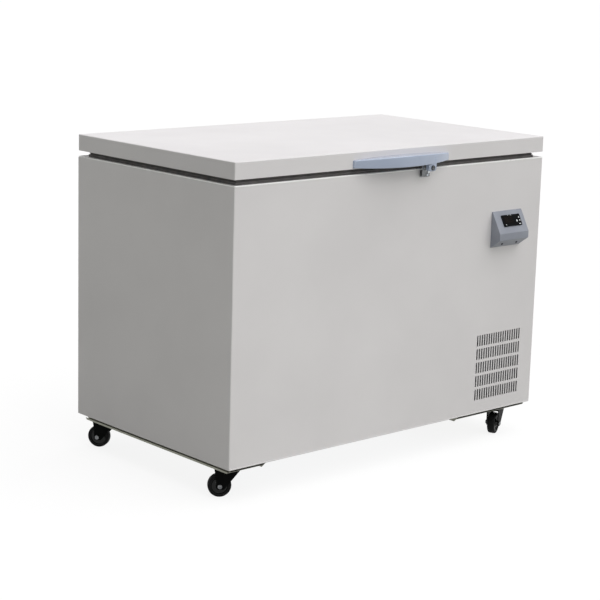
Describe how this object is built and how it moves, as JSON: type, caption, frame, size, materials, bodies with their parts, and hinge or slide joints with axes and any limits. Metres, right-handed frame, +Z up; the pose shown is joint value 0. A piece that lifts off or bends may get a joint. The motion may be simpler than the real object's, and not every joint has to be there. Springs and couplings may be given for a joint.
{
  "type": "chest freezer",
  "caption": "Low white chest freezer for very cold storage: back-hinged foamed lid with a bowed pull and lock, sloped controller housing, slotted air grille and swivel casters.",
  "frame": {"origin": "middle of the bounding box, on the floor under the wheels", "axes": "+X to the right seen from the front, +Y from front to back, +Z up"},
  "size_m": [1.2, 0.761, 0.92],
  "materials": {
    "white_paint": "satin",
    "galvanised": "satin",
    "liner_metal": "satin",
    "pale_plastic": "satin",
    "foam": "matte",
    "seal": "matte",
    "handle_plastic": "satin",
    "console_plastic": "satin",
    "module_plastic": "gloss",
    "display_window": "gloss",
    "key_rubber": "satin",
    "chrome": "polished",
    "black_plastic": "satin",
    "black_metal": "satin",
    "compressor_black": "satin",
    "fin_aluminium": "satin",
    "copper": "satin",
    "wheel_black": "satin",
    "grey_rubber": "matte"
  },
  "bodies": {
    "cabinet": {"cabinet_shell": "white_paint", "rear_panel": "white_paint", "bottom_panel": "galvanised", "partition_panel": "galvanised", "top_frame": "pale_plastic", "inner_liner": "liner_metal", "foam_insulation": "foam", "evaporator_coil": "copper", "temperature_probe": "chrome", "caster_rail": "galvanised", "machine_base": "galvanised", "caster_plates": "black_metal", "caster_bolts": "chrome", "condenser": "fin_aluminium", "fan_shroud": "galvanised", "fan_motor": "black_metal", "compressor": "compressor_black", "compressor_grommets": "grey_rubber", "terminal_cover": "black_plastic", "filter_drier": "copper", "refrigerant_pipes": "copper", "electrical_box": "galvanised", "cord_gland": "black_plastic", "control_housing": "console_plastic", "control_module": "module_plastic", "control_display": "display_window", "keeper": "chrome", "front_screws": "chrome", "hinge_pins": "chrome", "hinge_base_left": "white_paint", "hinge_base_right": "white_paint", "hinge_base_screws": "chrome"},
    "lid": {"lid_skin": "white_paint", "lid_foam": "foam", "lid_inner_panel": "pale_plastic", "lid_gasket": "seal", "lid_handle": "handle_plastic", "lock_barrel": "black_plastic", "hinge_leaf_left": "white_paint", "hinge_leaf_right": "white_paint", "hinge_leaf_screws": "chrome"},
    "lock": {"lock_plug": "chrome", "lock_cam": "chrome"},
    "fan": {"fan_blade": "black_plastic"},
    "key_up": {"key_up": "key_rubber"},
    "key_set": {"key_set": "key_rubber"},
    "key_down": {"key_down": "key_rubber"},
    "key_power": {"key_power": "key_rubber"},
    "caster_front_left": {"fork_front_left": "black_metal", "axle_front_left": "chrome"},
    "rolling_front_left": {"wheel_front_left": "wheel_black"},
    "caster_front_right": {"fork_front_right": "black_metal", "axle_front_right": "chrome"},
    "rolling_front_right": {"wheel_front_right": "wheel_black"},
    "caster_rear_left": {"fork_rear_left": "black_metal", "axle_rear_left": "chrome"},
    "rolling_rear_left": {"wheel_rear_left": "wheel_black"},
    "caster_rear_right": {"fork_rear_right": "black_metal", "axle_rear_right": "chrome"},
    "rolling_rear_right": {"wheel_rear_right": "wheel_black"}
  },
  "joints": [
    {"name": "lid_hinge", "type": "hinge", "parent": "cabinet", "child": "lid", "pos_m": [0, 0.3725, 0.8655], "axis": [-1, 0, 0], "range_deg": [0, 80]},
    {"name": "lock_turn", "type": "hinge", "parent": "lid", "child": "lock", "pos_m": [0.0952, -0.3695, 0.8625], "axis": [0, 1, 0], "range_deg": [0, 90]},
    {"name": "fan_spin", "type": "hinge", "parent": "cabinet", "child": "fan", "pos_m": [0.442, -0.2445, 0.237], "axis": [0, 1, 0], "continuous": true},
    {"name": "press_up", "type": "slide", "parent": "cabinet", "child": "key_up", "axis": [0, 0.8768, -0.4808], "range_m": [0, 0.0005], "stiffness_N_per_m": 400, "springref_m": -0.0005},
    {"name": "press_set", "type": "slide", "parent": "cabinet", "child": "key_set", "axis": [0, 0.8768, -0.4808], "range_m": [0, 0.0005], "stiffness_N_per_m": 400, "springref_m": -0.0005},
    {"name": "press_down", "type": "slide", "parent": "cabinet", "child": "key_down", "axis": [0, 0.8768, -0.4808], "range_m": [0, 0.0005], "stiffness_N_per_m": 400, "springref_m": -0.0005},
    {"name": "press_power", "type": "slide", "parent": "cabinet", "child": "key_power", "axis": [0, 0.8768, -0.4808], "range_m": [0, 0.0005], "stiffness_N_per_m": 400, "springref_m": -0.0005},
    {"name": "swivel_front_left", "type": "hinge", "parent": "cabinet", "child": "caster_front_left", "pos_m": [-0.54, -0.2725, 0.06], "axis": [0, 0, 1], "continuous": true},
    {"name": "roll_front_left", "type": "hinge", "parent": "caster_front_left", "child": "rolling_front_left", "pos_m": [-0.56404, -0.25628, 0.0325], "axis": [-0.5592, -0.829, 0], "continuous": true},
    {"name": "swivel_front_right", "type": "hinge", "parent": "cabinet", "child": "caster_front_right", "pos_m": [0.527, -0.2725, 0.06], "axis": [0, 0, 1], "continuous": true},
    {"name": "roll_front_right", "type": "hinge", "parent": "caster_front_right", "child": "rolling_front_right", "pos_m": [0.50094, -0.28521, 0.0325], "axis": [0.4384, -0.8988, 0], "continuous": true},
    {"name": "swivel_rear_left", "type": "hinge", "parent": "cabinet", "child": "caster_rear_left", "pos_m": [-0.54, 0.2905, 0.06], "axis": [0, 0, 1], "continuous": true},
    {"name": "roll_rear_left", "type": "hinge", "parent": "caster_rear_left", "child": "rolling_rear_left", "pos_m": [-0.55638, 0.31443, 0.0325], "axis": [-0.8251, -0.565, 0], "continuous": true},
    {"name": "swivel_rear_right", "type": "hinge", "parent": "cabinet", "child": "caster_rear_right", "pos_m": [0.527, 0.2905, 0.06], "axis": [0, 0, 1], "continuous": true},
    {"name": "roll_rear_right", "type": "hinge", "parent": "caster_rear_right", "child": "rolling_rear_right", "pos_m": [0.49899, 0.29801, 0.0325], "axis": [-0.2588, -0.9659, 0], "continuous": true}
  ]
}
